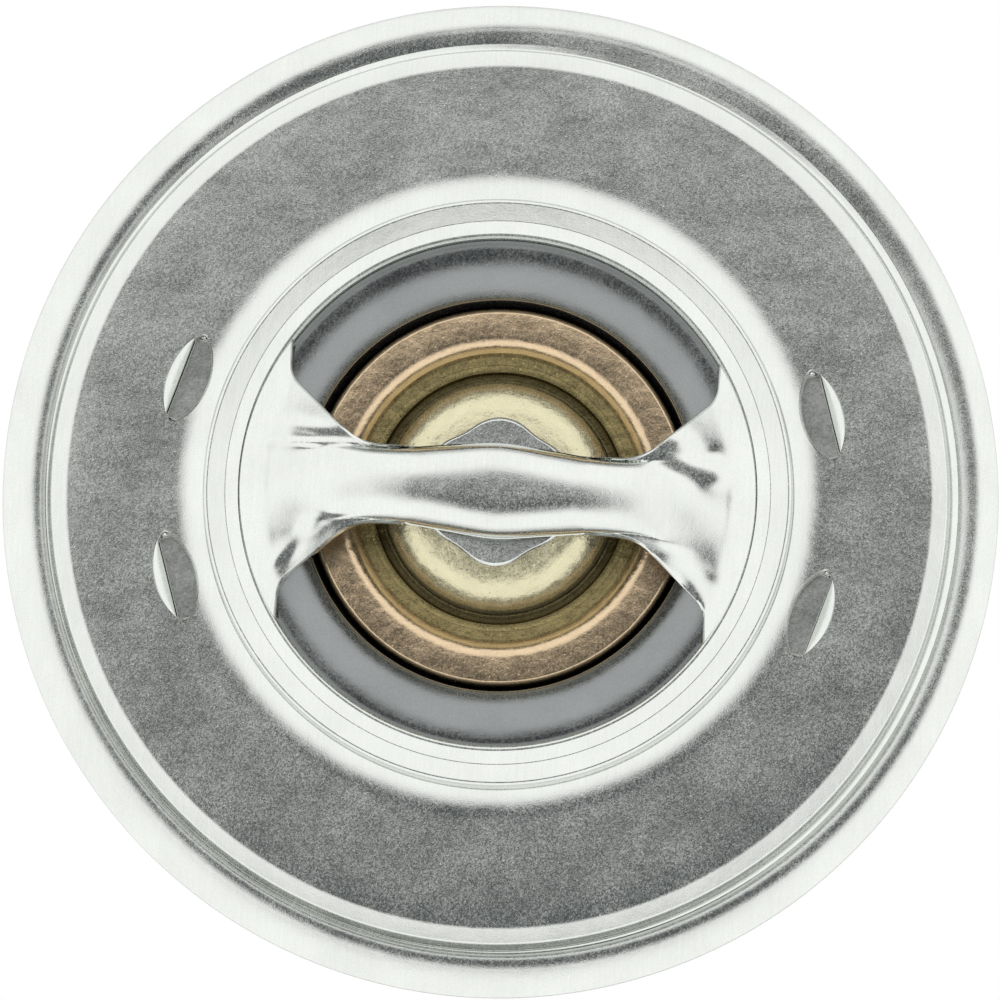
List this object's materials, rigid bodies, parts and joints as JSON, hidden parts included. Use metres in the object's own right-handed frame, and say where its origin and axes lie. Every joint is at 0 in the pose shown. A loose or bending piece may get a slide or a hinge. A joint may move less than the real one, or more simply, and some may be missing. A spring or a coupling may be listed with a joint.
{
  "type": "engine thermostat",
  "caption": "Wax-element engine coolant thermostat with a stamped round flange, arched bridge, sprung valve disc and lower cage.",
  "frame": {"origin": "on the thermostat's axis, in the seating face under the flange rim", "axes": "+Z along the axis towards the outlet side, where the bridge stands; the bridge and the cage legs lie along X"},
  "size_m": [0.054, 0.054, 0.0346],
  "materials": {
    "flange_steel": "tumbled satin sheet, bright on its bends",
    "cage_steel": "satin sheet",
    "pin_steel": "ground and polished",
    "spring_steel": "drawn wire",
    "valve_steel": "smooth pressed sheet",
    "cup_copper": "tumbled copper alloy",
    "guide_brass": "turned, tumbled on the boss",
    "boot_rubber": "moulded",
    "ring_plastic": "plain",
    "wax_charge": "packed wax and copper powder"
  },
  "bodies": {
    "frame": {"flange": "flange_steel", "lower_cage": "cage_steel", "piston_pin": "pin_steel", "return_spring": "spring_steel"},
    "element": {"valve_disc": "valve_steel", "element_cup": "cup_copper", "guide": "guide_brass", "boot": "boot_rubber", "backup_ring": "ring_plastic", "wax": "wax_charge"}
  },
  "joints": [
    {"name": "valve_travel", "type": "slide", "parent": "frame", "child": "element", "axis": [0, 0, -1], "range_m": [0, 0.008], "stiffness_N_per_m": 1310, "springref_m": -0.014, "deforming": ["return_spring"]}
  ]
}
